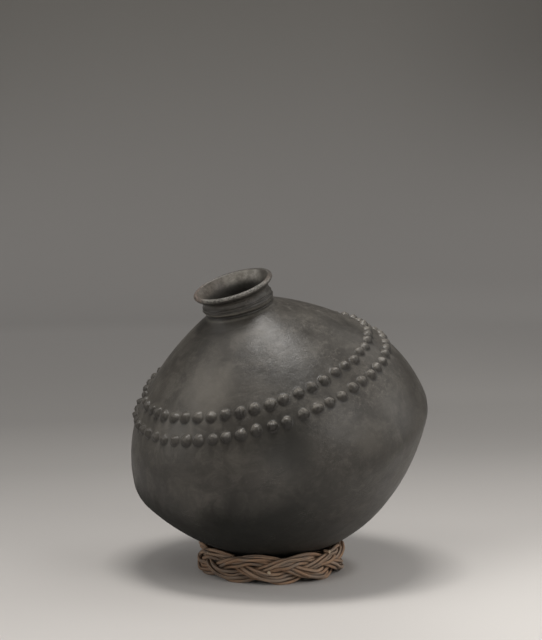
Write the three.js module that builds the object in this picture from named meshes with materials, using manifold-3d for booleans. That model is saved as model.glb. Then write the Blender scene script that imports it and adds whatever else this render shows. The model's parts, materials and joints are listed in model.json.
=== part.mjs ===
// A round-bottomed clay water pot that leans in a plaited ring of split rods.
// Lengths are in millimetres, angles in degrees, +Z is up and the ring stands on the floor at z = 0.
// The origin is the middle of the underside of the whole object's bounding box.

import * as THREE from 'three';
import { mergeVertices } from 'three/addons/utils/BufferGeometryUtils.js';
import Module from 'manifold-3d';

// Pot body, from the neck down: arcs that run into each other, each up to its end slope.
// A slope of 0 runs straight out from the pot's axis, 90 is the widest level, 180 the middle of the base.
const bodyStartRadius = 62;
const bodyStartDepth = 45.7;
const bodyStartSlope = 29.3;
const upperShoulder = { radius: 469, endSlope: 45.2 };
const lowerShoulder = { radius: 190, endSlope: 83.9 };
const belly = { radius: 41, endSlope: 117.3 };
const flank = { radius: 331, endSlope: 138.7 };
const wallThickness = 6.5;

// Neck and rim, as radii and depths below the plane of the mouth.
const rimOuterRadius = 57.5;
const rimFlatWidth = 3;
const rimEdgeRadius = 3;
const rimUndersideRadius = 55.5;
const rimUndersideDepth = 7;
const waistRadius = 48.2;
const waistDepth = 15.5;
const rollRadius = 50.3;
const rollDepth = 28.5;
const grooveRadius = 48.5;
const grooveDepth = 36.5;
const neckThickness = 5.2;
const neckShift = 2.3;
const funnelRadius = 46.2;
const funnelDepth = 9;
const throatDepth = 19;

// Studs pressed on to the shoulder in two rows.
const studSpacing = 21.4;
const studRadius = 7.6;
const studHeight = 6.5;
const studSink = 2;
const studTopRadius = 3.5;
const upperStudRow = { slope: 45.2, turn: 3.1 };
const lowerStudRow = { slope: 54.6, turn: 0 };

// How the pot leans in its ring.
const leanAngle = 21.3;
const leanHeading = 218.7;

// Ring: a plait of flat strands, each of a few rods side by side.
const ringOuterRadius = 106;
const rodDiameter = 4.9;
const strandNames = ['a', 'b', 'c'];
const rodsPerStrand = 4;
const swingsPerTurn = 3;
const plaitSwing = 14;
const plaitDepth = 5;
const plaitTurn = -92.7;
const rodClearance = 0.3;
const seatClearance = 0.35;
const plaitSqueeze = 5.4;
const floorFlat = 0.5;
const rodEndGap = 1.2;

// Fineness of the facets.
const potSegments = 48;
const facetSag = 0.6;
const neckSteps = 8;
const throatSteps = 5;
const studSides = 6;
const rodSides = 6;
const stationsPerCrossing = 5;
const slenderShare = 0.1;
const growShare = 0.7;
const easeShare = 0.04;
const bindSlack = 1.04;
const bindShare = 0.2;
const settlePasses = 300;

const rad = THREE.MathUtils.degToRad;
const rodRadius = rodDiameter / 2;

// Point and outward direction of the pot's outline are kept as (radius, height), with the mouth at height 0.
function makeBodyArcs() {
  const arcs = [];
  let point = new THREE.Vector2(bodyStartRadius, -bodyStartDepth);
  let slope = bodyStartSlope;
  for (const { radius, endSlope } of [upperShoulder, lowerShoulder, belly, flank]) {
    const outward = new THREE.Vector2(Math.sin(rad(slope)), Math.cos(rad(slope)));
    const centre = point.clone().addScaledVector(outward, -radius);
    arcs.push({ centre, radius, startSlope: slope, endSlope });
    point = arcPoint(arcs.at(-1), endSlope);
    slope = endSlope;
  }
  const baseRadius = point.x / Math.sin(rad(slope));
  const centre = new THREE.Vector2(0, point.y - baseRadius * Math.cos(rad(slope)));
  arcs.push({ centre, radius: baseRadius, startSlope: slope, endSlope: 180 });
  return arcs;
}

function arcPoint(arc, slope, inset = 0) {
  const outward = new THREE.Vector2(Math.sin(rad(slope)), Math.cos(rad(slope)));
  return arc.centre.clone().addScaledVector(outward, arc.radius - inset);
}

const bodyArcs = makeBodyArcs();
const baseArc = bodyArcs.at(-1);

// Points along the body from the neck to the middle of the base, at a given inset from the outer face.
function bodyOutline(inset) {
  const points = [arcPoint(bodyArcs[0], bodyArcs[0].startSlope, inset)];
  for (const arc of bodyArcs) {
    const sweep = arc.endSlope - arc.startSlope;
    const finest = 2 * Math.acos(1 - facetSag / arc.radius);
    const steps = Math.ceil(rad(sweep) / finest);
    for (let i = 1; i <= steps; i++) {
      points.push(arcPoint(arc, arc.startSlope + sweep * i / steps, inset));
    }
  }
  points.at(-1).x = 0;
  return points;
}

// The neck's outer face from the rim's underside down to the groove above the shoulder.
function neckOutline() {
  const curve = new THREE.SplineCurve([
    new THREE.Vector2(rimUndersideRadius, -rimUndersideDepth),
    new THREE.Vector2(waistRadius, -waistDepth),
    new THREE.Vector2(rollRadius, -rollDepth),
    new THREE.Vector2(grooveRadius, -grooveDepth),
  ]);
  return curve.getPoints(neckSteps);
}

// The rim from its outer edge over the flat lip, then the funnel and the throat inside the neck.
function mouthOutline() {
  const edge = [];
  const edgeCentre = new THREE.Vector2(rimOuterRadius - rimEdgeRadius, -rimEdgeRadius);
  for (const angle of [0, 45, 90]) {
    const outward = new THREE.Vector2(Math.cos(rad(angle)), Math.sin(rad(angle)));
    edge.push(edgeCentre.clone().addScaledVector(outward, rimEdgeRadius));
  }
  const funnel = new THREE.SplineCurve([
    new THREE.Vector2(edgeCentre.x - rimFlatWidth, 0),
    new THREE.Vector2(funnelRadius, -funnelDepth),
    new THREE.Vector2(waistRadius - neckThickness, -throatDepth),
    new THREE.Vector2(grooveRadius - neckThickness, -grooveDepth),
  ]);
  return [...edge, ...funnel.getPoints(throatSteps)];
}

// Closed mesh as a solid; triangles that shrink to a line on the axis are dropped.
function toSolid(geometry) {
  geometry.deleteAttribute('normal');
  geometry.deleteAttribute('uv');
  const merged = mergeVertices(geometry);
  const corners = merged.index.array;
  const triangles = [];
  for (let i = 0; i < corners.length; i += 3) {
    const [a, b, c] = [corners[i], corners[i + 1], corners[i + 2]];
    if (a !== b && b !== c && c !== a) triangles.push(a, b, c);
  }
  return new wasm.Manifold(new wasm.Mesh({
    numProp: 3,
    vertProperties: new Float32Array(merged.attributes.position.array),
    triVerts: new Uint32Array(triangles),
  }));
}

function toGeometry(solid) {
  const mesh = solid.getMesh();
  const geometry = new THREE.BufferGeometry();
  geometry.setAttribute('position', new THREE.BufferAttribute(mesh.vertProperties, 3));
  geometry.setIndex(new THREE.BufferAttribute(mesh.triVerts, 1));
  geometry.computeVertexNormals();
  return geometry;
}

// Turned shape about +Z from (radius, height) points that start and end on the axis.
function turned(points, segments) {
  const geometry = new THREE.LatheGeometry(points, segments);
  geometry.rotateX(Math.PI / 2);
  return geometry;
}

// The neck stands a little to one side of the body's axis, and the step is taken up below its groove.
function shiftNeck(geometry) {
  const corners = geometry.attributes.position;
  for (let i = 0; i < corners.count; i++) {
    const share = (bodyStartDepth + corners.getZ(i)) / (bodyStartDepth - grooveDepth);
    corners.setX(i, corners.getX(i) + neckShift * THREE.MathUtils.clamp(share, 0, 1));
  }
  return geometry;
}

function makePotShell() {
  const outside = bodyOutline(0).reverse();
  const inside = bodyOutline(wallThickness);
  const points = [...outside, ...neckOutline().reverse(), ...mouthOutline(), ...inside];
  return toSolid(shiftNeck(turned(points, potSegments)));
}

// One stud, standing along +Z on its seat at z = 0.
function makeStud() {
  const points = [
    new THREE.Vector2(0, -studSink),
    new THREE.Vector2(studRadius, -studSink),
    new THREE.Vector2(studTopRadius, studHeight),
    new THREE.Vector2(0, studHeight),
  ];
  return toSolid(turned(points, studSides));
}

function studRow({ slope, turn }) {
  const arc = bodyArcs.find(({ endSlope }) => slope <= endSlope);
  const seat = arcPoint(arc, slope);
  const count = Math.round(2 * Math.PI * seat.x / studSpacing);
  const studs = [];
  for (let i = 0; i < count; i++) {
    const place = new THREE.Matrix4().makeRotationZ(rad(turn) + 2 * Math.PI * i / count);
    place.multiply(new THREE.Matrix4().makeTranslation(seat.x, 0, seat.y));
    place.multiply(new THREE.Matrix4().makeRotationY(rad(slope)));
    studs.push(makeStud().transform(place.elements));
  }
  return studs;
}

// The pot's own frame has its origin at the centre of the base's curve, so the pot rocks about it.
function makePot() {
  let solid = makePotShell();
  for (const row of [upperStudRow, lowerStudRow]) {
    for (const stud of studRow(row)) solid = solid.add(stud);
  }
  return toGeometry(solid.translate([0, 0, -baseArc.centre.y]));
}

// The plait's place: its strands swing up and down and pass in and out around one circle.
const rodPitch = rodDiameter + rodClearance;
const ribbonHalf = (rodsPerStrand - 1) * rodPitch / 2;
const plaitRadius = ringOuterRadius - rodRadius - plaitDepth;
const lowestRodHeight = rodRadius - floorFlat;
const plaitMiddle = lowestRodHeight + ribbonHalf + plaitSwing - plaitSqueeze / 2;
const topRodHeight = plaitMiddle + plaitSwing + ribbonHalf - plaitSqueeze / 2;
const strandCount = strandNames.length;
const stationCount = swingsPerTurn * strandCount * stationsPerCrossing;

// The pot stands as high as the plait's top rods hold the curve of its base.
const seatReach = baseArc.radius + seatClearance + rodRadius;
const potHeight = topRodHeight + Math.sqrt(seatReach ** 2 - plaitRadius ** 2);

const leanAxis = new THREE.Vector3(-Math.sin(rad(leanHeading)), Math.cos(rad(leanHeading)), 0);
const leanTurn = new THREE.Quaternion().setFromAxisAngle(leanAxis, rad(leanAngle));

// Distance from a point to the pot's outer face, and the way out from it.
function fromPot(point) {
  const local = point.clone();
  local.z -= potHeight;
  local.applyQuaternion(leanTurn.clone().invert());
  const place = new THREE.Vector2(Math.hypot(local.x, local.y), local.z + baseArc.centre.y);
  const arc = bodyArcs.find(({ centre, endSlope }) => {
    const slope = THREE.MathUtils.radToDeg(Math.atan2(place.x - centre.x, place.y - centre.y));
    return slope >= 0 && slope <= endSlope;
  });
  const outward = place.clone().sub(arc.centre);
  const distance = outward.length() - arc.radius;
  outward.normalize();
  const away = new THREE.Vector3(local.x, local.y, 0).setLength(outward.x);
  away.z = outward.y;
  return { distance, away: away.applyQuaternion(leanTurn) };
}

function stationAngle(station) {
  return rad(plaitTurn) + 2 * Math.PI * station / stationCount;
}

function outwardAt(station) {
  return new THREE.Vector3(Math.cos(stationAngle(station)), Math.sin(stationAngle(station)), 0);
}

// Centre line of one rod before it is at its full thickness: a closed loop with one point at each station.
// At first the rods of a strand lie close together, a small share of their pitch apart.
function slenderRod(strand, rod) {
  const loop = [];
  for (let station = 0; station < stationCount; station++) {
    const swings = swingsPerTurn * station / stationCount + strand / strandCount - 1 / 4;
    const phase = 2 * Math.PI * swings;
    const radius = plaitRadius - plaitDepth * Math.sin(2 * phase);
    const offset = slenderShare * (rod * rodPitch - ribbonHalf);
    const height = plaitMiddle + plaitSwing * Math.cos(phase) + offset;
    loop.push(outwardAt(station).multiplyScalar(radius).setZ(height));
  }
  return loop;
}

// Nearest points of the stretches a-b and c-d, as shares of each, and the way from the second to the first.
function nearest(a, b, c, d) {
  const first = b.clone().sub(a);
  const second = d.clone().sub(c);
  const between = a.clone().sub(c);
  const aa = first.dot(first);
  const bb = second.dot(second);
  const ab = first.dot(second);
  const af = first.dot(between);
  const bf = second.dot(between);
  const clamp = THREE.MathUtils.clamp;
  const flat = aa * bb - ab * ab;
  let s = flat > 1e-9 ? clamp((ab * bf - af * bb) / flat, 0, 1) : 0.5;
  const t = clamp((ab * s + bf) / bb, 0, 1);
  s = clamp((ab * t - af) / aa, 0, 1);
  const apart = between.addScaledVector(first, s).addScaledVector(second, -t);
  return { s, t, apart };
}

// Pushes two loops apart wherever they are nearer than the pitch.
function partRods(one, other, pitch) {
  for (let i = 0; i < stationCount; i++) {
    for (const step of [-1, 0, 1]) {
      const j = (i + step + stationCount) % stationCount;
      const [a, b] = [one[i], one[(i + 1) % stationCount]];
      const [c, d] = [other[j], other[(j + 1) % stationCount]];
      const { s, t, apart } = nearest(a, b, c, d);
      const distance = apart.length();
      if (distance >= pitch) continue;
      const push = apart.multiplyScalar((pitch - distance) / distance / 2);
      a.addScaledVector(push, 1 - s);
      b.addScaledVector(push, s);
      c.addScaledVector(push, t - 1);
      d.addScaledVector(push, -t);
    }
  }
}

// Draws two neighbours of one strand together wherever they lie more than a rod's pitch apart.
function bindRods(one, other, pitch) {
  for (let i = 0; i < stationCount; i++) {
    const between = other[i].clone().sub(one[i]);
    const slack = between.length() - pitch * bindSlack;
    if (slack <= 0) continue;
    between.setLength(slack * bindShare);
    one[i].add(between);
    other[i].sub(between);
  }
}

// Keeps a loop in its stations' planes, inside the ring, off the floor and clear of the pot.
function boundRod(loop) {
  for (let i = 0; i < stationCount; i++) {
    const outward = outwardAt(i);
    const { distance, away } = fromPot(loop[i]);
    const need = rodRadius + seatClearance - distance;
    if (need > 0) loop[i].addScaledVector(away, need);
    const radius = Math.min(loop[i].dot(outward), ringOuterRadius - rodRadius);
    const height = Math.max(loop[i].z, lowestRodHeight);
    loop[i].copy(outward).multiplyScalar(radius).setZ(height);
  }
}

// Evens out a loop's kinks by moving each point towards the middle of its neighbours.
function easeRod(loop, share) {
  const before = loop.map((point) => point.clone());
  for (let i = 0; i < stationCount; i++) {
    const outward = outwardAt(i);
    const last = before[(i + stationCount - 1) % stationCount];
    const next = before[(i + 1) % stationCount];
    const radius = (Math.hypot(last.x, last.y) + Math.hypot(next.x, next.y)) / 2;
    const middle = outward.multiplyScalar(radius).setZ((last.z + next.z) / 2);
    loop[i].lerp(middle, share);
  }
}

// All rods as closed loops. They thicken little by little, so each keeps its place over or under the others
// while they come to lie tight against each other, the pot and the floor.
function plaitRods() {
  const loops = [];
  for (let strand = 0; strand < strandCount; strand++) {
    for (let rod = 0; rod < rodsPerStrand; rod++) loops.push(slenderRod(strand, rod));
  }
  for (let pass = 0; pass < settlePasses; pass++) {
    const progress = pass / settlePasses;
    const pitch = rodPitch * Math.min(1, slenderShare + progress / growShare);
    for (const loop of loops) easeRod(loop, easeShare * Math.max(0, 1 - progress / growShare));
    for (let i = 1; i < loops.length; i++) {
      if (i % rodsPerStrand > 0) bindRods(loops[i - 1], loops[i], pitch);
    }
    for (let i = 0; i < loops.length; i++) {
      for (let j = i + 1; j < loops.length; j++) partRods(loops[i], loops[j], pitch);
    }
    for (const loop of loops) boundRod(loop);
  }
  return loops;
}

// Opens a loop at a station and leaves a small gap between the rod's two ends.
function openLoop(loop, start) {
  const line = [];
  for (let i = 0; i <= stationCount; i++) line.push(loop[(start + i) % stationCount].clone());
  const shorten = (end, next) => end.add(next.clone().sub(end).setLength(rodEndGap / 2));
  shorten(line[0], line[1]);
  shorten(line.at(-1), line.at(-2));
  return line;
}

// Round rod along a line, with level facets underneath that are cut off at the floor.
function rodGeometry(line) {
  const positions = [];
  for (let i = 0; i < line.length; i++) {
    const along = line[Math.min(i + 1, line.length - 1)].clone().sub(line[Math.max(i - 1, 0)]).normalize();
    const side = new THREE.Vector3().crossVectors(along, new THREE.Vector3(0, 0, 1)).normalize();
    const upward = new THREE.Vector3().crossVectors(side, along);
    for (let k = 0; k < rodSides; k++) {
      const angle = 2 * Math.PI * k / rodSides;
      const corner = line[i].clone();
      corner.addScaledVector(side, rodRadius * Math.cos(angle));
      corner.addScaledVector(upward, rodRadius * Math.sin(angle));
      positions.push(corner.x, corner.y, Math.max(corner.z, 0));
    }
  }
  const corners = [];
  const last = (line.length - 1) * rodSides;
  for (let k = 1; k < rodSides - 1; k++) {
    corners.push(0, k, k + 1);
    corners.push(last, last + k + 1, last + k);
  }
  for (let i = 0; i < line.length - 1; i++) {
    for (let k = 0; k < rodSides; k++) {
      const a = i * rodSides + k;
      const b = i * rodSides + (k + 1) % rodSides;
      corners.push(a, a + rodSides, b);
      corners.push(b, a + rodSides, b + rodSides);
    }
  }
  const geometry = new THREE.BufferGeometry();
  geometry.setAttribute('position', new THREE.Float32BufferAttribute(positions, 3));
  geometry.setIndex(corners);
  geometry.computeVertexNormals();
  return geometry;
}

// Station where a rod's two ends meet: the ends are spread round the ring.
function endStation(strand, rod) {
  return Math.round(stationCount * (strand / strandCount + rod / (strandCount * rodsPerStrand)));
}

const wasm = await Module();
wasm.setup();

const clay = new THREE.MeshStandardMaterial({ color: 0x4a4844, roughness: 0.5, metalness: 0 });
const cane = new THREE.MeshStandardMaterial({ color: 0x7a6552, roughness: 0.85, metalness: 0 });

const object = new THREE.Group();

const pot = new THREE.Mesh(makePot(), clay);
pot.name = 'pot';
pot.quaternion.copy(leanTurn);
pot.position.z = potHeight;
object.add(pot);

const ring = new THREE.Group();
plaitRods().forEach((loop, index) => {
  const strand = Math.floor(index / rodsPerStrand);
  const rod = index % rodsPerStrand;
  const mesh = new THREE.Mesh(rodGeometry(openLoop(loop, endStation(strand, rod))), cane);
  mesh.name = `ring_strand_${strandNames[strand]}_rod_${rod + 1}`;
  ring.add(mesh);
});
object.add(ring);

object.updateMatrixWorld(true);
const box = new THREE.Box3().setFromObject(object, true);
const middle = box.getCenter(new THREE.Vector3());
object.position.set(-middle.x, -middle.y, -box.min.z);

export default object;
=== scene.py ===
import json
import math

import bpy
import numpy as np
from mathutils import Matrix, Vector, noise


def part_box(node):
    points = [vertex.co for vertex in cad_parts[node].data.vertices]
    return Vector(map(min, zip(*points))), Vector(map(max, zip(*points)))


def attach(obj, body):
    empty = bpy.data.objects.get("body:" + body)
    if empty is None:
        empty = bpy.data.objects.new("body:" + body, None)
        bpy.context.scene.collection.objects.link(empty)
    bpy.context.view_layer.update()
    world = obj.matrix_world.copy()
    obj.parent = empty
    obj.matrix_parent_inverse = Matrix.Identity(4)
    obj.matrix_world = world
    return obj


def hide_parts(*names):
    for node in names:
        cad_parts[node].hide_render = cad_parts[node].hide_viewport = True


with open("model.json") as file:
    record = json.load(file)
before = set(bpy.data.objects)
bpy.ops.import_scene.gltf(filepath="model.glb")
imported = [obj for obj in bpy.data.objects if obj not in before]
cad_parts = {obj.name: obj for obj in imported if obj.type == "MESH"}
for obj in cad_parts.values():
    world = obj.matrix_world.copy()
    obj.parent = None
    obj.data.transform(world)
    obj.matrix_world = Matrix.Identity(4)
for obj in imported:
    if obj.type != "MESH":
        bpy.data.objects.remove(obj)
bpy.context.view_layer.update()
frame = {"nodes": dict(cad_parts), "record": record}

# A smoke-fired, burnished water pot with two rows of studs, leaning in a plaited ring of split cane.
# Lengths are in metres and angles in degrees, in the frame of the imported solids: +Z up, floor at z = 0.
# The pot is shaped in its own frame, where the mouth's plane is at height 0 and +Z is the pot's axis.

# Pot body, from the neck down: arcs that run into each other, as (radius, end slope).
# A slope of 0 runs straight out from the pot's axis, 90 is the widest level, 180 the middle of the base.
BODY_START = (0.062, -0.0457)
BODY_START_SLOPE = 29.3
BODY_ARCS = ((0.469, 45.2), (0.190, 83.9), (0.041, 117.3), (0.331, 138.7))

# Thickness of the wall, and how far inside the solid's surface the wall's relief starts.
WALL = 0.0065
SKIN = 0.0007

# Rim and neck, as (radius, height).
RIM_OUTER_RADIUS = 0.0575
RIM_EDGE_RADIUS = 0.0030
RIM_FLAT_WIDTH = 0.0030
NECK_OUTSIDE = (
    (0.0555, -0.0068), (0.0515, -0.0100), (0.0486, -0.0138), (0.0482, -0.0170), (0.0490, -0.0205),
    (0.0502, -0.0245), (0.0505, -0.0285), (0.0495, -0.0316), (0.0469, -0.0340), (0.0469, -0.0356),
    (0.0494, -0.0378), (0.0528, -0.0407), (0.0572, -0.0435),
)
NECK_INSIDE = ((0.0515, 0.0), (0.0462, -0.0090), (0.0430, -0.0190), (0.0433, -0.0365))
NECK_SHIFT = 0.0023
NECK_SHIFT_DEPTH = 0.0365
NECK_RIDGE_DEPTHS = (0.0222, 0.0266)
NECK_RIDGE_HEIGHT = 0.0009
NECK_RIDGE_WIDTH = 0.0009

# The neck's groove isn't level: it is raised most at one turn round the neck and lowered across from it,
# by shares that depend on the depth, as (depth, share).
NECK_TILT_TURN = 230.0
NECK_TILT_RISE = 0.0042
NECK_TILT_DROP = 0.0010
NECK_TILT_SHARES = ((0.0155, 0.0), (0.0330, 1.0), (0.0365, 0.75), (0.0410, 0.25), (0.0450, 0.0))

# Painted shade lines round the neck, in its groove, under its ridges and under the rim, as (depth, width,
# turn where it is darkest, least share across from there), and painted highlight lines on the ridges below
# and above the groove, in the same way.
NECK_SHADE_LINES = (
    (0.0349, 0.0019, 240.0, 0.3),
    (0.0244, 0.0009, 320.0, 0.0),
    (0.0288, 0.0009, 320.0, 0.0),
    (0.0085, 0.0022, 240.0, 0.6),
)
NECK_HIGHLIGHT_LINES = ((0.0378, 0.0011, 245.0, 0.0), (0.0296, 0.0020, 245.0, 0.15))

# Studs in two rows, as (slope of the seat, turn of the first stud), and how much they differ.
STUD_ROWS = ((45.2, 3.1), (54.6, 0.0))
STUD_SPACING = 0.0214
STUD_RADIUS = 0.0076
STUD_HEIGHT = 0.0062
STUD_BAND_MARGIN = 0.011
STUD_FULLNESS = 0.72
STUD_SAG = 0.12
STUD_SHIFT_SPREAD = 0.0008
STUD_SIZE_SPREAD = 0.06
STUD_HEIGHT_SPREAD = 0.07
STUD_LEAN_SPREAD = 0.16
STUD_SEED = 11

# Relief of the hand-beaten wall, as (depth, lumps in a metre).
BROAD_LUMPS = (0.0003, 14.0)
SMALL_DENTS = (0.0002, 55.0)
RIM_WEAR = 1.2

# Fineness of the pot's mesh.
BODY_SEGMENTS = 480
BAND_SEGMENTS = 1440
BODY_STEP = 0.0028
BAND_STEP = 0.0008
NECK_STEP = 0.0009
INSIDE_STEP = 0.008
LIP_STEPS = 4

# The inside is painted in shade from this depth on, over this much further.
INSIDE_SHADE_DEPTHS = (0.0100, 0.009)

# Rods of the plaited ring.
ROD_RADIUS = 0.00248
ROD_SIDES = 18
ROD_STEPS = 420
ROD_END_GAP = 0.0009
ROD_END_BULGE = 0.0002
ROD_END_RINGS = (0.9, 0.45)
ROD_GIRTH_SPREAD = 0.07
ROD_OVAL = 0.05
ROD_FIBRE_RELIEF = 0.10
ROD_SEED = 100

# Least turn between a rod's sections in the solid, and the steps of the smooth line between them.
STATION_GAP = 3.0
STATION_STEPS = 12

# Cut ends that show between the strands, as (turn round the ring, height).
TUCKED_ENDS = ((268.5, 0.0185), (322.4, 0.0385), (75.0, 0.0240), (160.0, 0.0200))
TUCKED_PROUD = 0.0005
TUCKED_LENGTH = 0.009
TUCKED_STEPS = 10
TUCKED_FIRST_INDEX = 20

# Colours of the clay.
CLAY_DARK = (0.044, 0.040, 0.035)
CLAY_BROWN = (0.076, 0.070, 0.061)
CLAY_SHEEN = 0.42
PALE_BLOTCH = (0.135, 0.124, 0.108)
DARK_BLOTCH = (0.026, 0.024, 0.021)
WHEEL_LINE = (0.020, 0.019, 0.017)
# Painted shade in the neck's groove and under the rim, and painted highlights on its ridges:
NECK_PAINTED_SHADE = (0.008, 0.008, 0.007)
NECK_PAINTED_HIGHLIGHT = (0.20, 0.19, 0.165)
STROKE = (0.025, 0.023, 0.020)
PALE_MOTTLE = (0.165, 0.151, 0.132)
DARK_MOTTLE = (0.024, 0.022, 0.019)
PALE_GRAIN = (0.22, 0.20, 0.175)
# Painted light on the pot's left side, and the base darkened, partly soot and partly painted shade:
PAINTED_LEFT_LIGHT = (0.150, 0.140, 0.123)
SOOT_AND_SHADE = (0.006, 0.0065, 0.0045)
# Patches painted paler and darker, partly smoke stains and partly painted light and shade:
PALE_PATCH = (0.175, 0.162, 0.142)
DARK_PATCH = (0.020, 0.019, 0.016)
SCRATCH = (0.21, 0.195, 0.172)
# Painted highlight on the studs' tops, partly wear, and painted shade on their lower sides and feet:
STUD_TOP_ON_LEFT = (0.055, 0.050, 0.044)
STUD_TOP_HIGHLIGHT_AND_WEAR = (0.29, 0.27, 0.24)
STUD_FOOT_SHADE = (0.018, 0.016, 0.014)
# The throat, paler on the right as painted light, and darker at its right edge:
THROAT_BROWN = ((0.060, 0.051, 0.043), (0.125, 0.111, 0.095))
THROAT_LIT_GREY = ((0.20, 0.187, 0.163), (0.35, 0.333, 0.30))
THROAT_RIGHT_EDGE = (0.055, 0.050, 0.043)
LIP_WORN = (0.235, 0.225, 0.206)
LIP_RUST = (0.175, 0.132, 0.110)
# Painted shade deep inside the pot:
INSIDE_SHADE = (0.040, 0.038, 0.034)

# Direction of the pot's left side, in its own frame, where the shoulder is painted paler as light and the
# base darker, partly soot and partly painted shade.
POT_LEFT_SIDE = (-1.0, -0.2, 0.0)

# Partly smoke stains, partly painted light and shade: pale on the shoulder and belly, dark on the belly and
# the underside.
# Patches round a point, as (middle in the pot's own frame, reach, level): pale above 0, dark below.
LIGHT_SHADE_AND_SMOKE_PATCHES = (
    ((-0.062, -0.120, -0.097), 0.064, 0.65),
    ((0.131, -0.170, -0.212), 0.040, 0.35),
    ((0.052, -0.137, -0.107), 0.050, -0.80),
    ((0.024, -0.200, -0.175), 0.078, -0.90),
    ((-0.145, -0.150, -0.265), 0.070, -0.92),
    ((0.138, -0.007, -0.099), 0.045, -0.35),
)

# Colours of the cane.
CANE_RED = (0.41, 0.248, 0.152)
CANE_BROWN = (0.465, 0.332, 0.237)
CANE_GREY = (0.315, 0.242, 0.190)
CANE_DARK_THREAD = (0.07, 0.045, 0.03)
CANE_PALE_THREAD = (0.66, 0.52, 0.38)
# Painted shade on the rods' sides where they touch:
CANE_SHADE_BETWEEN_RODS = (0.05, 0.033, 0.022)
CANE_CUT = (0.62, 0.50, 0.36)

# Camera of the photograph.
CAMERA_PLACE = (-0.01096, -2.70369, 0.6438)
CAMERA_PITCH = 6.0
CAMERA_LENS = 106.875

# Lamps, as (name, place, target, size, power).
LIGHT_COLOUR = (1.0, 0.975, 0.94)
LAMPS = (
    ("top_light", (-0.05, -0.18, 2.4), (0, 0, 0.2), (0.8, 0.58), 31),
    ("top_left", (-0.85, -0.55, 2.2), (0, 0, 0.3), (0.7, 0.7), 4.5),
    ("right_side", (2.1, 0.2, 1.0), (0, 0, 0.2), (1.2, 1.2), 7.5),
    ("right_front", (1.6, -1.6, 1.5), (0, 0, 0.1), (1.2, 1.2), 16),
    ("left_side", (-1.9, 0.0, 1.8), (0, 0, 0.25), (1.1, 1.1), 4),
    ("left_low", (-2.1, -0.2, 0.7), (0, 0, 0.2), (1.0, 0.8), 4.5),
    ("back_right", (1.5, 1.2, 1.9), (0, 0, 0.2), (1.2, 1.2), 4),
    ("low_front", (-0.2, -2.3, 0.35), (0, 0, 0.04), (1.0, 0.5), 3),
)
WORLD_STRENGTH = 0.09

# Stage: a round paper floor that sweeps up into a wall.
FLOOR_RADII = (0.6, 1.6, 3.4)
SWEEP_RADIUS = 1.0
SWEEP_STEPS = 12
WALL_HEIGHT = 2.6
STAGE_SEGMENTS = 96

# Level of the paper at distances away from the front, a little aslant, and the hue that the levels share.
# The levels paint the fall-off of the lamps' light across the paper.
PAPER_LEVELS = (
    (-1.0, 0.68), (-0.3, 0.60), (0.05, 0.52), (0.5, 0.44), (0.87, 0.36), (1.45, 0.315),
    (2.1, 0.37), (3.2, 0.485), (4.0, 0.465),
)
PAPER_HUE = (1.0, 0.965, 0.935)
PAPER_SLANT = -0.25

# Colours further up the wall and in its upper corners, which paint shade, and on the right, which paint
# light, and their share that the lamps light.
HIGH_PAPER = (0.295, 0.282, 0.260)
CORNER_PAPER = (0.16, 0.153, 0.142)
FAR_RIGHT_PAPER = (0.80, 0.775, 0.745)
NEAR_RIGHT_PAPER = (0.82, 0.797, 0.770)
PAPER_LIT = 0.90

# The paper's own glow, the gap that it leaves at the ring, and the painted shadow beside the pot, where the
# glow is less.
PAPER_GLOW = 0.17
GLOW_GAP = (0.095, 0.125)
SHADE_MIDDLE = (-0.12, -0.03, 0.0)
SHADE_REACH = (0.10, 0.32)
SHADE_LEVEL = 0.65


# Outline of the pot

def slope_direction(slope):
    return np.array([math.sin(math.radians(slope)), math.cos(math.radians(slope))])


def body_arcs():
    """The body's arcs as (centre, radius, start slope, end slope), the last one being the round base."""
    arcs = []
    point = np.array(BODY_START)
    slope = BODY_START_SLOPE
    for radius, end_slope in BODY_ARCS:
        centre = point - radius * slope_direction(slope)
        arcs.append((centre, radius, slope, end_slope))
        point = centre + radius * slope_direction(end_slope)
        slope = end_slope
    base_radius = point[0] / math.sin(math.radians(slope))
    centre = np.array([0.0, point[1] - base_radius * math.cos(math.radians(slope))])
    arcs.append((centre, base_radius, slope, 180.0))
    return arcs


def body_slopes(first, last, step):
    """Slopes from first to last, about step apart along the body's surface."""
    slopes = [first]
    for _, radius, start, end in body_arcs():
        low, high = max(first, start), min(last, end)
        if high <= low:
            continue
        count = max(1, round(math.radians(high - low) * radius / step))
        slopes.extend(low + (high - low) * i / count for i in range(1, count + 1))
    return slopes


def body_point(slope, inset):
    for centre, radius, _, end in body_arcs():
        if slope <= end + 1e-9:
            return centre + (radius - inset) * slope_direction(slope)


def catmull(a, b, c, d, t):
    """Point at share t of the way from b to c on the smooth curve through a, b, c and d."""
    square = (2 * a - 5 * b + 4 * c - d) * t ** 2
    cube = (3 * b - a - 3 * c + d) * t ** 3
    return 0.5 * (2 * b + (c - a) * t + square + cube)


def smooth_line(points, step):
    """Points about step apart on a smooth curve through the given points."""
    points = np.array(points, float)
    ends = np.vstack([2 * points[0] - points[1], points, 2 * points[-1] - points[-2]])
    line = [points[0]]
    for i in range(len(points) - 1):
        a, b, c, d = ends[i:i + 4]
        count = max(1, round(float(np.linalg.norm(c - b)) / step))
        for k in range(1, count + 1):
            line.append(catmull(a, b, c, d, k / count))
    return np.array(line)


def neck_outside():
    line = smooth_line([*NECK_OUTSIDE, body_point(BODY_START_SLOPE, SKIN)], NECK_STEP)[:-1]
    for depth in NECK_RIDGE_DEPTHS:
        ridge = np.exp(-((line[:, 1] + depth) / NECK_RIDGE_WIDTH) ** 2)
        line[:, 0] += NECK_RIDGE_HEIGHT * ridge
    return line


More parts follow.
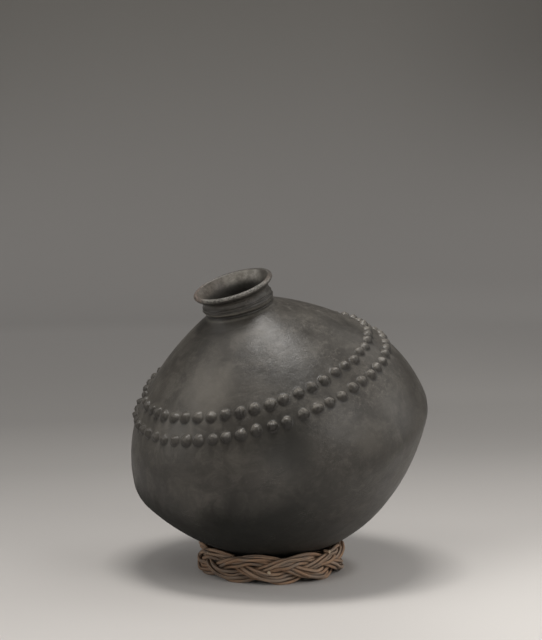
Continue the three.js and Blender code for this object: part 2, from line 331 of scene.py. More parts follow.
def rim_edge():
    centre = np.array([RIM_OUTER_RADIUS - RIM_EDGE_RADIUS, -RIM_EDGE_RADIUS])
    turns = [math.radians(a) for a in range(-20, 91, 10)]
    return np.array([centre + RIM_EDGE_RADIUS * np.array([math.cos(a), math.sin(a)]) for a in turns])


def lip_flat():
    outer = RIM_OUTER_RADIUS - RIM_EDGE_RADIUS
    return [np.array([outer - RIM_FLAT_WIDTH * k / LIP_STEPS, 0.0]) for k in range(1, LIP_STEPS + 1)]


def body_rows():
    """Rows of the body's section from the neck down to the middle of the base, finer where the studs are."""
    band_top = STUD_ROWS[0][0] - math.degrees(STUD_BAND_MARGIN / BODY_ARCS[0][0])
    band_bottom = STUD_ROWS[1][0] + math.degrees(STUD_BAND_MARGIN / BODY_ARCS[1][0])
    sections = (
        (body_slopes(BODY_START_SLOPE, band_top, BODY_STEP)[:-1], BODY_SEGMENTS),
        (body_slopes(band_top, band_bottom, BAND_STEP), BAND_SEGMENTS),
        (body_slopes(band_bottom, 180.0, BODY_STEP)[1:], BODY_SEGMENTS),
    )
    rows = []
    for slopes, segments in sections:
        for slope in slopes:
            rows.append((*body_point(slope, SKIN), *slope_direction(slope), segments, "body"))
    return rows


def pot_rows():
    """Rows of the pot's section from the middle of the base over the mouth to the middle of the base inside.
    Each is (radius, height, outward radius, outward height, number of segments, kind)."""
    rows = body_rows()[::-1]
    upper = [(point, "neck") for point in neck_outside()[::-1]]
    upper += [(point, "rim") for point in rim_edge()]
    upper += [(point, "lip") for point in lip_flat()]
    upper += [(point, "throat") for point in smooth_line(NECK_INSIDE, 2 * NECK_STEP)[1:]]
    along = np.gradient(np.array([point for point, _ in upper]), axis=0)
    for (point, kind), way in zip(upper, along):
        outward = np.array([way[1], -way[0]]) / np.linalg.norm(way)
        rows.append((*point, *outward, BODY_SEGMENTS, kind))
    for slope in body_slopes(BODY_START_SLOPE, 180.0, INSIDE_STEP):
        rows.append((*body_point(slope, WALL), *-slope_direction(slope), BODY_SEGMENTS, "inside"))
    return rows


def neck_shift(height):
    """How far a level stands to one side of the body's axis, with the step below the neck's groove."""
    share = (height - BODY_START[1]) / (-NECK_SHIFT_DEPTH - BODY_START[1])
    share = min(max(share, 0.0), 1.0)
    return NECK_SHIFT * share * share * (3 - 2 * share)


def neck_tilt(height, around):
    """How far the points of a level of the neck are raised or lowered, so that the groove isn't level."""
    share = np.interp(-height, *zip(*NECK_TILT_SHARES))
    return share * (NECK_TILT_RISE * np.cos(around - math.radians(NECK_TILT_TURN)) - NECK_TILT_DROP)


# Studs and relief of the pot's surface

def stud_dome(u, v, index):
    """Height of a stud at u across and v down from its middle, in its own radii: 1 on top, 0 past it."""
    turn = np.arctan2(v, u)
    corner = 1 + 0.05 * np.cos(3 * turn + index * 1.7) + 0.03 * np.cos(5 * turn + index * 2.9)
    return np.clip(1 - (np.hypot(u, v) / corner) ** 2, 0, None) ** STUD_FULLNESS


def thumb_marks(u, v, index):
    """Share by which the thumb that pressed a stud left it higher or lower at a place."""
    return 0.06 * np.cos(8 * u + 2 * v + index) + 0.05 * np.cos(6 * v - 3 * u + 2.3 * index)


def stud_relief(slopes_down, around, radius):
    """Studs at points of the band, given the distance down the body from the upper row: their height,
    and how far a point lies on the upper side of one, or on its lower side and foot."""
    draw = np.random.default_rng(STUD_SEED)
    relief, upper_side, foot = (np.zeros_like(around) for _ in range(3))
    row_gap = math.radians(STUD_ROWS[1][0] - STUD_ROWS[0][0]) * BODY_ARCS[1][0]
    for row, (slope, first_turn) in enumerate(STUD_ROWS):
        count = round(2 * math.pi * body_point(slope, 0)[0] / STUD_SPACING)
        spacing = 2 * math.pi / count
        shift = draw.normal(0, STUD_SHIFT_SPREAD, (count, 2))
        size = draw.normal(1, STUD_SIZE_SPREAD, (count, 2))
        tall = draw.normal(1, STUD_HEIGHT_SPREAD, count)
        lean = draw.normal(0, STUD_LEAN_SPREAD, (count, 2))
        place = (around - math.radians(first_turn)) / spacing
        index = np.round(place).astype(int) % count
        across = (place - np.round(place)) * spacing * radius - shift[index, 0]
        down = slopes_down - row * row_gap - shift[index, 1]
        u = across / (STUD_RADIUS * size[index, 0])
        v = down / (STUD_RADIUS * size[index, 1])
        reach = np.hypot(u, v)
        dome = stud_dome(u, v, index)
        slant = 1 + lean[index, 0] * u + (lean[index, 1] - STUD_SAG) * v
        pinch = 1 + thumb_marks(u, v, index) * dome
        collar = 0.05 * np.exp(-((reach - 1.05) / 0.16) ** 2)
        relief = np.maximum(relief, STUD_HEIGHT * tall[index] * (dome * slant * pinch + collar))
        # The upper side takes a painted highlight in the clay, the lower side and foot painted shade.
        upper_side = np.maximum(upper_side, np.clip(0.30 - 1.3 * v, 0, 1) * (dome > 0.15))
        under = np.clip(0.1 + 1.2 * v, 0, 1) * (reach < 1.1)
        near_foot = np.exp(-((reach - 1.12) / 0.22) ** 2) * np.clip(0.5 + 0.6 * v, 0, 1)
        foot = np.maximum(foot, np.maximum(under, near_foot))
    return relief, upper_side, foot


def fractal(points, scale, octaves):
    """Smooth noise from 0 to 1 at each point, with its largest lumps about 1 / scale across."""
    values = [noise.fractal(Vector(p) * scale, 1.0, 2.0, octaves) for p in points]
    return np.clip(0.5 + 0.5 * np.array(values), 0, 1)


def hand_relief(places, kinds):
    """How far the hand-beaten wall lies below the turned shape: broad lumps, and small dents."""
    depth = BROAD_LUMPS[0] * fractal(places, BROAD_LUMPS[1], 2)
    depth += SMALL_DENTS[0] * fractal(places + 3.0, SMALL_DENTS[1], 2)
    depth[np.isin(kinds, ("rim", "lip"))] *= RIM_WEAR
    return depth


def strongest_line(lines, heights, around):
    """How far each point lies on the lines round the neck, each of them strongest at one turn."""
    strength = np.zeros_like(heights)
    for depth, width, turn, least in lines:
        near = np.exp(-((heights + depth) / width) ** 2)
        side = 0.5 + 0.5 * np.cos(around - math.radians(turn))
        strength = np.maximum(strength, near * (least + (1 - least) * side ** 2))
    return strength


# Meshes

def make_mesh(name, vertices, faces):
    mesh = bpy.data.meshes.new(name)
    mesh.from_pydata(vertices, [], faces)
    mesh.polygons.foreach_set("use_smooth", [True] * len(mesh.polygons))
    mesh.update()
    made = bpy.data.objects.new(name, mesh)
    bpy.context.scene.collection.objects.link(made)
    return made


def store(made, name, values):
    """Keeps a number, or a vector, for each vertex, for the materials to read."""
    values = np.asarray(values, np.float32)
    if values.ndim == 1:
        made.data.attributes.new(name, "FLOAT", "POINT").data.foreach_set("value", values)
    else:
        made.data.attributes.new(name, "FLOAT_VECTOR", "POINT").data.foreach_set("vector", values.ravel())


def fan(middle, ring, count, flip):
    """Faces between a middle vertex and a ring round it."""
    faces = []
    for i in range(count):
        here, there = ring + i, ring + (i + 1) % count
        faces.append((middle, there, here) if flip else (middle, here, there))
    return faces


def ring_faces(lower, lower_count, upper, upper_count):
    """Faces between two rings of vertices, where one has the same number as the other or a few times it."""
    faces = []
    if lower_count == upper_count:
        for i in range(lower_count):
            j = (i + 1) % lower_count
            faces.append((lower + i, lower + j, upper + j, upper + i))
        return faces
    flip = lower_count > upper_count
    coarse, coarse_count, fine, fine_count = lower, lower_count, upper, upper_count
    if flip:
        coarse, coarse_count, fine, fine_count = upper, upper_count, lower, lower_count
    ratio = fine_count // coarse_count
    half = ratio // 2 + 1
    for i in range(coarse_count):
        here, there = coarse + i, coarse + (i + 1) % coarse_count
        edge = [fine + (i * ratio + k) % fine_count for k in range(ratio + 1)]
        for k in range(ratio):
            faces.append((here if k < half else there, edge[k + 1], edge[k]))
        faces.append((here, there, edge[half]))
    return [face[::-1] for face in faces] if flip else faces


# Pot

def pot_levels():
    """The levels of the pot's smooth shape in its own frame, each with the values of its points by name."""
    levels = []
    down = 0.0
    last = None
    for radius, height, out_radius, out_height, segments, kind in pot_rows():
        if last is not None:
            down += math.hypot(radius - last[0], height - last[1])
        last = (radius, height)
        if radius < 1e-6:
            radius, segments = 0.0, 1
        around = 2 * math.pi * np.arange(segments) / segments
        circle = np.column_stack([np.cos(around), np.sin(around), np.ones(segments)])
        place = circle * [radius, radius, height]
        place[:, 0] += neck_shift(height)
        if kind == "neck":
            place[:, 2] += neck_tilt(height, around)
        levels.append({
            "place": place,
            "way": circle * [out_radius, out_radius, out_height],
            "around": around,
            "radius": np.full(segments, radius),
            "height": np.full(segments, height),
            "down": np.full(segments, down),
            "kind": np.full(segments, kind),
        })
    return levels


def pot_faces(counts):
    """Faces of the closed pot, given the number of points on each of its levels."""
    faces = []
    low = 0
    for low_count, high_count in zip(counts, counts[1:]):
        high = low + low_count
        if low_count == 1:
            faces += fan(low, high, high_count, True)
        elif high_count == 1:
            faces += fan(high, low, low_count, False)
        else:
            faces += ring_faces(low, low_count, high, high_count)
        low = high
    return faces


def pot_relief(points):
    """How far each point stands out from the smooth shape, and the studs' upper sides and feet."""
    seat = body_point(STUD_ROWS[0][0], SKIN)
    outside = points["kind"] == "body"
    gap = np.hypot(points["radius"] - seat[0], points["place"][:, 2] - seat[1])
    upper_row = np.argmin(gap + 1e3 * ~outside)
    studs, upper_side, foot = (np.zeros(len(outside)) for _ in range(3))
    studs[outside], upper_side[outside], foot[outside] = stud_relief(
        points["down"][upper_row] - points["down"][outside],
        points["around"][outside],
        points["radius"][outside])
    wall = hand_relief(points["place"], points["kind"])
    wall[points["kind"] == "inside"] *= -1
    return studs - wall, upper_side, foot


def mark_pot(pot, points, upper_side, foot):
    """Marks the pot's points for the clay: their place, and how far on a stud, a line, the lip or inside."""
    kind, height, around = points["kind"], points["height"], points["around"]
    on_neck = kind == "neck"
    on_lip = np.isin(kind, ("lip", "rim"))
    inward = np.isin(kind, ("inside", "throat"))
    depth = -points["place"][:, 2]
    store(pot, "own_place", points["place"])
    store(pot, "stud_top", upper_side)
    store(pot, "stud_foot", foot)
    store(pot, "lip", on_lip * np.clip(1.3 + 2 * points["way"][:, 2], 0, 1))
    store(pot, "neck_line", on_neck * strongest_line(NECK_SHADE_LINES, height, around))
    store(pot, "neck_shine", on_neck * strongest_line(NECK_HIGHLIGHT_LINES, height, around))
    store(pot, "throat", inward.astype(float))
    store(pot, "inside", inward * np.clip((depth - INSIDE_SHADE_DEPTHS[0]) / INSIDE_SHADE_DEPTHS[1], 0, 1))


def pot_frame():
    """Place of the pot's own frame: its axis from the rim mount, its origin from the lip of the solid."""
    mount = next(m for m in frame["record"]["mounts"] if m["name"] == "mouth_rim")
    turn = Vector((0, 0, 1)).rotation_difference(Vector(mount["axis"])).to_matrix()
    corners = np.array([v.co for v in frame["nodes"]["pot"].data.vertices])
    local = corners @ np.array(turn)
    lip = local[local[:, 2] > local[:, 2].max() - 1e-4]
    middle = (lip.min(0) + lip.max(0)) / 2 - [NECK_SHIFT, 0, 0]
    return Matrix.Translation(turn @ Vector(middle)) @ turn.to_4x4()


def make_pot():
    """The pot as one closed mesh, shaped in its own frame and then stood in its place."""
    levels = pot_levels()
    points = {name: np.concatenate([level[name] for level in levels]) for name in levels[0]}
    relief, upper_side, foot = pot_relief(points)
    vertices = points["place"] + points["way"] * relief[:, None]
    pot = make_mesh("clay_pot", vertices.tolist(), pot_faces([len(level["around"]) for level in levels]))
    mark_pot(pot, points, upper_side, foot)
    pot.data.transform(pot_frame())
    return pot


# Ring

def ring_middle():
    names = frame["record"]["behaviour"]["bodies"]["ring"]
    rod_boxes = [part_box(name) for name in names]
    low = [min(box[0][k] for box in rod_boxes) for k in range(2)]
    high = [max(box[1][k] for box in rod_boxes) for k in range(2)]
    return np.array([(low[k] + high[k]) / 2 for k in range(2)])


def rod_stations(node, middle):
    """Middles of a rod's sections in the solid, in order from the place where its two ends meet."""
    corners = np.unique(np.round([v.co for v in frame["nodes"][node].data.vertices], 6), axis=0)
    turns = np.degrees(np.arctan2(corners[:, 1] - middle[1], corners[:, 0] - middle[0])) % 360
    order = np.argsort(turns)
    corners, turns = corners[order], turns[order]
    gaps = np.diff(np.append(turns, turns[0] + 360))
    first = (int(np.argmax(gaps)) + 1) % len(turns)
    corners, gaps = np.roll(corners, -first, axis=0), np.roll(gaps, -first)
    cuts = np.nonzero(gaps[:-1] > STATION_GAP)[0] + 1
    sections = np.split(corners, cuts)
    ends = int(np.argmax([len(section) for section in sections]))
    middles = np.array([section.mean(0) for section in sections])
    return np.roll(middles, -ends, axis=0)


def rod_line(stations):
    """Points evenly spaced along a smooth open curve through a rod's stations."""
    count = len(stations)
    dense = []
    for i in range(count):
        a, b, c, d = (stations[(i + k) % count] for k in (-1, 0, 1, 2))
        dense += [catmull(a, b, c, d, k / STATION_STEPS) for k in range(STATION_STEPS)]
    dense = np.array(dense + [stations[0]])
    run = np.concatenate([[0], np.cumsum(np.linalg.norm(np.diff(dense, axis=0), axis=1))])
    wanted = np.linspace(ROD_END_GAP / 2, run[-1] - ROD_END_GAP / 2, ROD_STEPS)
    return np.column_stack([np.interp(wanted, run, dense[:, k]) for k in range(3)]), wanted


def make_rod(node, middle, index):
    """A rod along the centre line of its solid."""
    return rod_along("cane_" + node.removeprefix("ring_"), *rod_line(rod_stations(node, middle)), index)


def make_tucked_end(ring_points, middle, index, turn, height):
    """The cut end of a rod, looking out between the strands of the plait at a turn round the ring."""
    outward = np.array([math.cos(math.radians(turn)), math.sin(math.radians(turn)), 0.0])
    level = np.array([*middle, height])
    near = np.linalg.norm(np.cross(ring_points - level, outward), axis=1) < ROD_RADIUS
    reach = ((ring_points - level) @ outward)[near].max() + TUCKED_PROUD
    run = np.linspace(reach - TUCKED_LENGTH, reach, TUCKED_STEPS)
    line = level + run[:, None] * outward
    return rod_along(f"cane_end_{index + 1}", line, run, TUCKED_FIRST_INDEX + index)


def rod_skin(line, run, along, index, twist, squash_turn):
    """Points round a rod, section by section, and where each lies on the straight rod."""
    side = np.cross(along, [0, 0, 1])
    side /= np.linalg.norm(side, axis=1)[:, None]
    upward = np.cross(side, along)
    points, coords = [], []
    for i in range(len(line)):
        girth = 1 + ROD_GIRTH_SPREAD * noise.noise(Vector((run[i] * 28, index * 7.3, 0)))
        for k in range(ROD_SIDES):
            turn = 2 * math.pi * k / ROD_SIDES
            fibre = noise.noise(Vector((run[i] * 16 + index, 3.2 * math.cos(turn), 3.2 * math.sin(turn))))
            oval = ROD_OVAL * math.cos(2 * (turn - squash_turn - twist * run[i]))
            reach = ROD_RADIUS * (girth + oval + ROD_FIBRE_RELIEF * fibre)
            point = line[i] + reach * (math.cos(turn) * side[i] + math.sin(turn) * upward[i])
            point[2] = max(point[2], 0.0)
            points.append(point)
            coords.append((run[i], ROD_RADIUS * math.cos(turn), ROD_RADIUS * math.sin(turn)))
    return points, coords


def rod_along(name, line, run, index):
    """A fibrous split rod along a line, given the distance run at each of its points."""
    along = np.gradient(line, axis=0)
    along /= np.linalg.norm(along, axis=1)[:, None]
    draw = np.random.default_rng(ROD_SEED + index)
    twist, squash_turn = draw.uniform(-6, 6), draw.uniform(0, math.pi)
    vertices, coords = rod_skin(line, run, along, index, twist, squash_turn)
    skin_count = len(vertices)
    faces = []
    for i in range(len(line) - 1):
        faces += ring_faces(i * ROD_SIDES, ROD_SIDES, (i + 1) * ROD_SIDES, ROD_SIDES)
    for i, sign in ((0, -1), (len(line) - 1, 1)):
        cut = line[i] + sign * ROD_END_BULGE * along[i]
        rings = [i * ROD_SIDES]
        for share in ROD_END_RINGS:
            rings.append(len(vertices))
            for k in range(rings[0], rings[0] + ROD_SIDES):
                vertices.append(cut + share * (vertices[k] - line[i]))
                coords.append((run[i], *(share * np.array(coords[k][1:]))))
        cap = fan(len(vertices), rings[-1], ROD_SIDES, False)
        for outer, inner in zip(rings, rings[1:]):
            cap += ring_faces(outer, ROD_SIDES, inner, ROD_SIDES)
        vertices.append(cut)
        coords.append((run[i], 0.0, 0.0))
        faces += cap if sign > 0 else [face[::-1] for face in cap]
    rod = make_mesh(name, [tuple(v) for v in vertices], faces)
    store(rod, "fibre", np.array(coords) + [index * 0.37, 0, 0])
    store(rod, "cut", np.arange(len(vertices)) >= skin_count)
    store(rod, "tone", np.full(len(vertices), draw.uniform(0, 1)))
    return rod


def finish_cane(rod, cane):
    rod.data.materials.append(cane)
    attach(rod, "ring")


def make_ring(cane):
    middle = ring_middle()
    ring_points = []
    for index, node in enumerate(frame["record"]["behaviour"]["bodies"]["ring"]):
        rod = make_rod(node, middle, index)
        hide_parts(node)
        finish_cane(rod, cane)
        ring_points += [vertex.co for vertex in rod.data.vertices]
    ring_points = np.array(ring_points)
    for index, (turn, height) in enumerate(TUCKED_ENDS):
        finish_cane(make_tucked_end(ring_points, middle, index, turn, height), cane)


# Nodes of the materials

def add_node(tree, kind, settings=None, **inputs):
    node = tree.nodes.new("ShaderNode" + kind)
    for key, value in (settings or {}).items():
        setattr(node, key, value)
    for key, value in inputs.items():
        plug(tree, node.inputs[key.replace("_", " ")], value)
    return node


def plug(tree, socket, value):
    if isinstance(value, bpy.types.NodeSocket):
        tree.links.new(value, socket)
    elif socket.type == "RGBA":
        socket.default_value = (*value, 1)
    else:
        socket.default_value = value


def attribute(tree, name, output="Fac"):
    return add_node(tree, "Attribute", {"attribute_name": name}).outputs[output]


def vector_math(tree, operation, a, b, output="Value"):
    node = add_node(tree, "VectorMath", {"operation": operation})
    plug(tree, node.inputs[0], a)
    plug(tree, node.inputs[1], b)
    return node.outputs[output]


def stretched(tree, vector, scale):
    return vector_math(tree, "MULTIPLY", vector, scale, "Vector")


def cloud(tree, vector, scale, detail=4.0, roughness=0.55, distortion=0.0):
    node = add_node(tree, "TexNoise", Vector=vector, Scale=scale, Detail=detail,
                    Roughness=roughness, Distortion=distortion)
    return node.outputs["Fac"]


def fit(tree, value, low, high, to_low=0.0, to_high=1.0):
    """Takes low and high to to_low and to_high, smoothly, and holds what lies outside."""
    node = add_node(tree, "MapRange", {"interpolation_type": "SMOOTHSTEP"}, Value=value, From_Min=low,
                    From_Max=high, To_Min=to_low, To_Max=to_high)
    return node.outputs["Result"]


def fit_evenly(tree, value, low, high):
    """Takes low and high to 0 and 1 in a straight line, and holds what lies outside."""
    return add_node(tree, "MapRange", Value=value, From_Min=low, From_Max=high).outputs["Result"]


def combine(tree, operation, a, b):
    node = add_node(tree, "Math", {"operation": operation})
    plug(tree, node.inputs[0], a)
    plug(tree, node.inputs[1], b)
    return node.outputs[0]


def times(tree, first, *others):
    for other in others:
        first = combine(tree, "MULTIPLY", first, other)
    return first


def plus(tree, a, b, share=1.0):
    """The sum of a and a share of b."""
    return combine(tree, "ADD", a, times(tree, b, share))


def tint(tree, factor, a, b, mode="MIX"):
    node = add_node(tree, "Mix", {"data_type": "RGBA", "blend_type": mode})
    plug(tree, node.inputs[0], factor)
    plug(tree, node.inputs[6], a)
    plug(tree, node.inputs[7], b)
    return node.outputs[2]


def lay(tree, colour, other, where, share=1.0):
    """Lays another colour over the colour, up to a share."""
    return tint(tree, times(tree, where, share), colour, other)


def bump(tree, height, distance, normal=None):
    node = add_node(tree, "Bump", Height=height, Distance=distance)
    if normal is not None:
        plug(tree, node.inputs["Normal"], normal)
    return node.outputs["Normal"]


def new_material(name):
    material = bpy.data.materials.new(name)
    material.use_nodes = True
    return material, material.node_tree, material.node_tree.nodes["Principled BSDF"]


# Clay

def rough_shoulder(tree, place, parts):
    """Where the shoulder is mottled: in patches, more to the pot's right."""
    patches = fit(tree, cloud(tree, place, 13.0, 3.0, 0.6, 0.4), 0.42, 0.60, 0.25, 1.0)
    level = fit(tree, parts["Z"], -0.24, -0.13, 0.3, 1.0)
    right = fit(tree, parts["X"], -0.01, 0.07, 0.3, 1.0)
    return times(tree, level, patches, right)


def scratches(tree, place):
    """Fine, nearly level scratches in patches."""
    lines = cloud(tree, stretched(tree, place, (1.0, 1.0, 4.0)), 70.0, 2.0, 0.5, 1.4)
    from_line = combine(tree, "ABSOLUTE", combine(tree, "SUBTRACT", lines, 0.5), 0)
    patches = fit(tree, cloud(tree, place, 20.0), 0.53, 0.66)
    return times(tree, fit(tree, from_line, 0.010, 0.0), patches)


def worn_lip(tree, place, parts):
    """Where the lip is worn pale: in specks, less at the back on the right."""
    specks = fit(tree, cloud(tree, place, 270.0, 3.0, 0.8), 0.44, 0.55, 0.12, 1.0)
    front = fit(tree, plus(tree, parts["Y"], parts["X"], 0.8), 0.050, 0.010, 0.35, 1.0)
    return times(tree, attribute(tree, "lip"), specks, front)


def neck_colour(tree, colour, place, parts):
    """Wheel lines, and the painted shade in the groove, under the ridges and under the rim, and the painted
    highlights on the ridges of the neck.
    """
    wheel = cloud(tree, stretched(tree, place, (1.0, 1.0, 22.0)), 22.0, 4.0, 0.6)
    on_neck = fit(tree, parts["Z"], -0.040, -0.036)
    colour = lay(tree, colour, WHEEL_LINE, times(tree, fit(tree, wheel, 0.52, 0.36, 0.0, 0.5), on_neck))
    # Painted shade in the groove, under the ridges and under the rim of the neck.
    colour = lay(tree, colour, NECK_PAINTED_SHADE, attribute(tree, "neck_line"), 0.9)
    # Painted highlights on the ridges of the neck.
    return lay(tree, colour, NECK_PAINTED_HIGHLIGHT, attribute(tree, "neck_shine"), 0.8)


def patch_colour(tree, colour, place, middle, reach, level):
    """Paints the colour paler or darker round a point, with a cloudy edge: partly smoke stains, partly
    painted light and shade.
    """
    edge = times(tree, cloud(tree, place, 20.0, 5.0, 0.6), reach)
    gap = plus(tree, vector_math(tree, "DISTANCE", place, middle), edge)
    share = fit(tree, gap, 1.5 * reach, 0.5 * reach, 0.0, abs(level))
    return tint(tree, share, colour, PALE_PATCH if level > 0 else DARK_PATCH)


def stud_colours(tree, colour, place, parts):
    """Studs with a painted highlight on their fibrous tops, partly wear, duller on the pot's left, and
    painted shade on their lower sides and feet.
    """
    streaks = cloud(tree, stretched(tree, place, (1.0, 1.0, 0.3)), 420.0, 3.0, 0.7)
    top = times(tree, attribute(tree, "stud_top"), fit(tree, streaks, 0.36, 0.60, 0.25, 1.0))
    top_colour = tint(tree, fit(tree, parts["X"], -0.15, -0.01), STUD_TOP_ON_LEFT, STUD_TOP_HIGHLIGHT_AND_WEAR)
    # Painted highlight on the studs' tops, partly wear, duller on the left.
    colour = lay(tree, colour, top_colour, top, 0.65)
    # Painted shade on the studs' lower sides and round their feet.
    return lay(tree, colour, STUD_FOOT_SHADE, attribute(tree, "stud_foot"), 0.72)


def throat_colour(tree, colour, place, parts):
    """The inner side of the neck: brown and darker on the left, grey and paler on the right as painted
    light, darker at its right edge.
    """
    spots = fit(tree, cloud(tree, place, 80.0, 5.0, 0.75), 0.36, 0.64)
    brown = tint(tree, spots, *THROAT_BROWN)
    grey = tint(tree, spots, *THROAT_LIT_GREY)
    side = plus(tree, parts["X"], cloud(tree, place, 40.0), 0.03)
    throat = tint(tree, fit(tree, side, -0.012, 0.034), brown, grey)
    throat = lay(tree, throat, THROAT_RIGHT_EDGE, fit(tree, parts["X"], 0.034, 0.046), 0.85)
    return tint(tree, attribute(tree, "throat"), colour, throat)


def lip_colour(tree, colour, place, parts, worn):
    """The worn lip, rusty in patches and on its left."""
    patches = fit(tree, cloud(tree, place, 26.0, 3.0, 0.6), 0.53, 0.68, 0.0, 0.7)
    rust = combine(tree, "MAXIMUM", patches, fit(tree, parts["X"], -0.034, -0.048, 0.0, 0.9))
    return lay(tree, colour, tint(tree, rust, LIP_WORN, LIP_RUST), worn, 0.85)


def make_clay():
    """Charcoal clay: mottled by the smoke, burnished in level strokes, scratched, worn pale on the lip."""
    material, tree, shader = new_material("burnished_clay")
    place = attribute(tree, "own_place", "Vector")
    parts = add_node(tree, "SeparateXYZ", Vector=place).outputs
    height = parts["Z"]

    smoke = fit(tree, cloud(tree, place, 9.0, 5.0, 0.6, 0.6), 0.35, 0.68)
    pale_blotches = times(tree, fit(tree, cloud(tree, place, 30.0, 6.0, 0.7, 0.7), 0.46, 0.64),
                          fit(tree, height, -0.038, -0.046, 0.25, 1.0))
    dark_cloud = cloud(tree, stretched(tree, place, (1.0, 1.0, 1.6)), 19.0, 6.0, 0.7, 0.6)
    strokes = cloud(tree, stretched(tree, place, (1.0, 1.0, 5.0)), 40.0, 5.0, 0.65, 0.8)
    shoulder = rough_shoulder(tree, place, parts)
    mottle = cloud(tree, place, 150.0, 5.0, 0.78, 0.3)
    grain = cloud(tree, place, 360.0, 3.0, 0.7)
    scratch = scratches(tree, place)
    worn = worn_lip(tree, place, parts)
    inside = attribute(tree, "inside")
    side = vector_math(tree, "DOT_PRODUCT", place, POT_LEFT_SIDE)
    # The left side of the shoulder is painted paler, as light from the left.
    leftward_side = fit(tree, side, 0.05, 0.15)
    left_light_mask = times(tree, leftward_side, fit(tree, height, -0.065, -0.115), fit(tree, height, -0.205, -0.165),
                 fit_evenly(tree, pale_blotches, -1.0, 1.0))
    # Darker towards the base and on the left: partly soot, partly painted shade of the underside.
    soot_and_shade_mask = times(tree, fit(tree, plus(tree, height, smoke, 0.02), -0.195, -0.265),
                 fit(tree, side, -0.07, 0.08, 0.12, 1.0))

    colour = tint(tree, smoke, CLAY_DARK, CLAY_BROWN)
    colour = lay(tree, colour, PALE_BLOTCH, pale_blotches, 0.36)
    colour = neck_colour(tree, colour, place, parts)
    colour = lay(tree, colour, DARK_BLOTCH, fit(tree, dark_cloud, 0.50, 0.36), 0.42)
    colour = lay(tree, colour, STROKE, fit(tree, strokes, 0.54, 0.34), 0.18)
    colour = lay(tree, colour, PALE_MOTTLE, times(tree, fit(tree, mottle, 0.50, 0.68), shoulder), 0.6)
    colour = lay(tree, colour, DARK_MOTTLE, times(tree, fit(tree, mottle, 0.48, 0.32), shoulder), 0.7)
    colour = lay(tree, colour, PALE_GRAIN, times(tree, fit(tree, grain, 0.56, 0.72), shoulder), 0.4)
    # Painted light on the pot's left side.
    colour = lay(tree, colour, PAINTED_LEFT_LIGHT, left_light_mask, 0.45)
    # Darker towards the base: partly soot, partly painted shade.
    colour = lay(tree, colour, SOOT_AND_SHADE, soot_and_shade_mask, 0.96)
    # Patches painted paler and darker: partly smoke stains, partly painted light and shade.
    for middle, reach, level in LIGHT_SHADE_AND_SMOKE_PATCHES:
        colour = patch_colour(tree, colour, place, middle, reach, level)
    colour = lay(tree, colour, SCRATCH, scratch, 0.45)
    colour = stud_colours(tree, colour, place, parts)
    colour = throat_colour(tree, colour, place, parts)
    colour = lip_colour(tree, colour, place, parts, worn)
    # Painted shade deep inside the pot.
    colour = lay(tree, colour, INSIDE_SHADE, inside, 0.8)
    plug(tree, shader.inputs["Base Color"], colour)

    dull = fit(tree, cloud(tree, place, 30.0, 5.0, 0.65), 0.32, 0.7, 0.36, 0.46)
    for where, more in ((worn, 0.3), (soot_and_shade_mask, 0.25), (inside, 0.3), (times(tree, soot_and_shade_mask, leftward_side), 0.25)):
        dull = plus(tree, dull, where, more)
    plug(tree, shader.inputs["Roughness"], dull)
    shader.inputs["Specular IOR Level"].default_value = CLAY_SHEEN

    normal = bump(tree, cloud(tree, place, 60.0, 2.0, 0.5), 0.00045)
    normal = bump(tree, strokes, 0.00014, normal)
    normal = bump(tree, times(tree, mottle, shoulder), 0.0004, normal)
    normal = bump(tree, grain, 0.00018, normal)
    normal = bump(tree, times(tree, scratch, -1.0), 0.0001, normal)
    plug(tree, shader.inputs["Normal"], normal)
    return material


# Cane

def make_cane():
    """Dry split cane: long fibres, each rod of its own brown or grey, pale where it is cut, with painted
    shade where the rods touch.
    """
    material, tree, shader = new_material("split_cane")
    fibre = attribute(tree, "fibre", "Vector")
    threads = cloud(tree, stretched(tree, fibre, (14.0, 900.0, 900.0)), 1.0, 5.0, 0.65)
    patches = cloud(tree, stretched(tree, fibre, (40.0, 120.0, 120.0)), 1.0, 4.0, 0.6)
    across = combine(tree, "ABSOLUTE", add_node(tree, "SeparateXYZ", Vector=fibre).outputs["Z"], 0)
    colour = tint(tree, attribute(tree, "tone"), CANE_RED, CANE_BROWN)
    colour = tint(tree, fit(tree, patches, 0.42, 0.62), colour, CANE_GREY)
    colour = tint(tree, fit(tree, threads, 0.48, 0.3), colour, CANE_DARK_THREAD)
    colour = tint(tree, fit(tree, threads, 0.58, 0.75), colour, CANE_PALE_THREAD)
    # Painted shade on the sides of each rod that face its neighbours.
    colour = tint(tree, fit(tree, across, 0.76 * ROD_RADIUS, ROD_RADIUS, 0.0, 0.65), colour, CANE_SHADE_BETWEEN_RODS)
    colour = tint(tree, attribute(tree, "cut"), colour, CANE_CUT)
    plug(tree, shader.inputs["Base Color"], colour)
    plug(tree, shader.inputs["Roughness"], fit(tree, threads, 0.3, 0.7, 0.85, 0.62))
    plug(tree, shader.inputs["Normal"], bump(tree, threads, 0.0007))
    return material


# Stage, camera and lights

